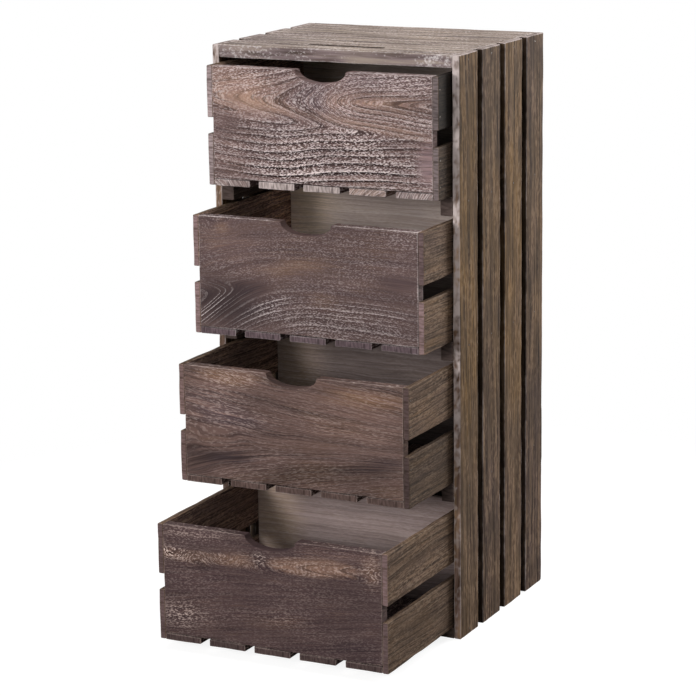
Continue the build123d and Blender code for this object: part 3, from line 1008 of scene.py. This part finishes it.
# Where the painted shade from the case and the painted shade at the front end lie along a side slat, in
# millimetres, and how firm the front one is.
CASE_SHADE_BEHIND, CASE_SHADE_HALF = 40, 58
SHADE_START, SHADE_HALF, SHADE_FIRM = -20, 70, 3.0
BARE_TAN = -0.8
# Backs get painted shade along the foot, and painted light and more tan at the left end.
BACK_PITH = -150
BACK_FOOT_SHADE = ((0, -52), (WHOLE, 45), 0.0, (-0.7, 0.0, 0.0, 0.0))
BACK_CORNER_LIGHT = ((-112, 20), (36, WHOLE), 0.0)
CORNER_TAN = 0.8
print(f"{len(BOXES)} drawer boxes with {len(SIDES)} side slats each")

# %% Sides, backs and floors
def make_sides(drawer, box):
    """The four side slats of one drawer."""
    wood = limed_wood(
        f"stained_{drawer}_side_paulownia", (*SIDE_TONES, box["side_end"]), ring=7.0, ripple=1.0, late=0.4,
        rows=0.1, hues=(1.2, 1.2), streaky=0.8, streak=(45.0, 1.1), flecky=0.35, fleck=(6.0, 1.1),
        patchy=0.15, worn=0.25,
    )
    for side, (light, end_light, shade) in zip(SIDES, box["sides"]):
        node = f"{drawer}_{side}_slat"
        low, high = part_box(node)
        front = (low.y - high.y) / 2 / MM
        # Painted shade where the case shades the side, just behind the part that stood out.
        case_shade_place = (front + box["pulled"] + CASE_SHADE_BEHIND, 0)
        rubbed_and_shaded = (case_shade_place, (CASE_SHADE_HALF, WHOLE), 0.0, (box["rubbed_and_shaded"], 0.0, 0.0, 0.0))
        # Painted shade over the front end, given only for the top drawer's right slats.
        shade_place = (front + SHADE_START, 0)
        shaded = (shade_place, (SHADE_HALF, WHOLE), 0.0, (shade, 0.0, 0.0, 0.0), SHADE_FIRM)
        inner = 1 if side.startswith("left") else -1
        faces = ((X, inner, box["bare"], BARE_TAN, 0.0), (Y, -1, end_light, 0.0, 0.0))
        cut = usual_cut(node, light=light, zones=(rubbed_and_shaded, shaded), faces=faces)
        make_piece(node, [straight_board(low, high, (Y, Z, X), cut, BOARD_STEP)], wood)


def make_back(drawer, box):
    """The back board of one drawer."""
    node = f"{drawer}_back"
    wood = limed_wood(
        f"plain_{node}_paulownia", box["back"], ring=8.0, late=0.25, streaky=0.5, flecky=0.2, worn=0.3
    )
    # Painted light and more tan at the left end of the back, and painted shade along its foot.
    corner = (*BACK_CORNER_LIGHT, (box["corner"], CORNER_TAN, 0.0, 0.0))
    cut = usual_cut(node, pith=BACK_PITH, light=1.0, tan=0.0, zones=(BACK_FOOT_SHADE, corner))
    low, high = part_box(node)
    make_piece(node, [straight_board(low, high, (X, Z, Y), cut, BOARD_STEP)], wood)


def make_floor(drawer, box):
    """The floor slats of one drawer, side by side with even gaps, of the same wood as its front."""
    node = f"{drawer}_floor_slats"
    tones = (*FRONTS[drawer]["tones"][:-1], box["floor_end"])
    wood = limed_wood(f"limed_{node}_paulownia", tones, worn=0.3)
    low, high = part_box(node)
    width = (high.x - low.x - (FLOOR_SLATS - 1) * FLOOR_GAP) / FLOOR_SLATS
    boards = []
    for n, (sawn, tan) in enumerate(box.get("floor", DARK_ENDS)):
        start = low.x + n * (width + FLOOR_GAP)
        left, right = Vector((start, low.y, low.z)), Vector((start + width, high.y, high.z))
        cut = usual_cut(f"{node}_{n}", sawn=sawn, tan=tan, faces=((Z, 1, INSIDE_SHADE, 0.0, 0.0),))
        boards.append(straight_board(left, right, (Y, X, Z), cut, BOARD_STEP))
    make_piece(node, boards, wood)


for drawer, box in BOXES.items():
    make_sides(drawer, box)
    make_back(drawer, box)
    make_floor(drawer, box)

# %% [markdown]
# ## Brads
# Thin nails with small heads hold the slats. Their CAD shape is right, so it stays, and only gets a finish:
# mild steel that has gone dull, with faint blotches of rust. At this size a head is only a dark dot.

# %% Brad steel
STEEL, RUST = "#6b6560", "#4a382c"
STEEL_METALLIC, STEEL_ROUGHNESS, RUST_ROUGHNESS = 0.7, 0.4, 0.75
RUST_BLOTCH, RUST_DETAIL = 0.9 * MM, 2.0
RUST_LEVELS = (0.4, 0.6)

steel, tree = new_material("dulled_mild_steel")
place = add(tree, "ShaderNodeTexCoord", out="Object")
blotch = add(tree, "ShaderNodeTexNoise", {"Vector": place, "Scale": 1 / RUST_BLOTCH, "Detail": RUST_DETAIL})
rusty = ramp(tree, blotch, *RUST_LEVELS)
colour = blend(tree, rusty, linear(STEEL), linear(RUST))
dull = ramp(tree, rusty, 0.0, 1.0, STEEL_ROUGHNESS, RUST_ROUGHNESS)
looks = {"Base Color": colour, "Roughness": dull, "Metallic": STEEL_METALLIC}
face = add(tree, "ShaderNodeBsdfPrincipled", looks)
add(tree, "ShaderNodeOutputMaterial", {"Surface": face}, out=None)

brads = [node for node in frame["nodes"] if node.endswith("_brads")]
for node in brads:
    frame["nodes"][node].data.materials.clear()
    frame["nodes"][node].data.materials.append(steel)
print(f"{len(brads)} groups of brads")

# %% Finish
bpy.context.scene.view_settings.view_transform = "Standard"
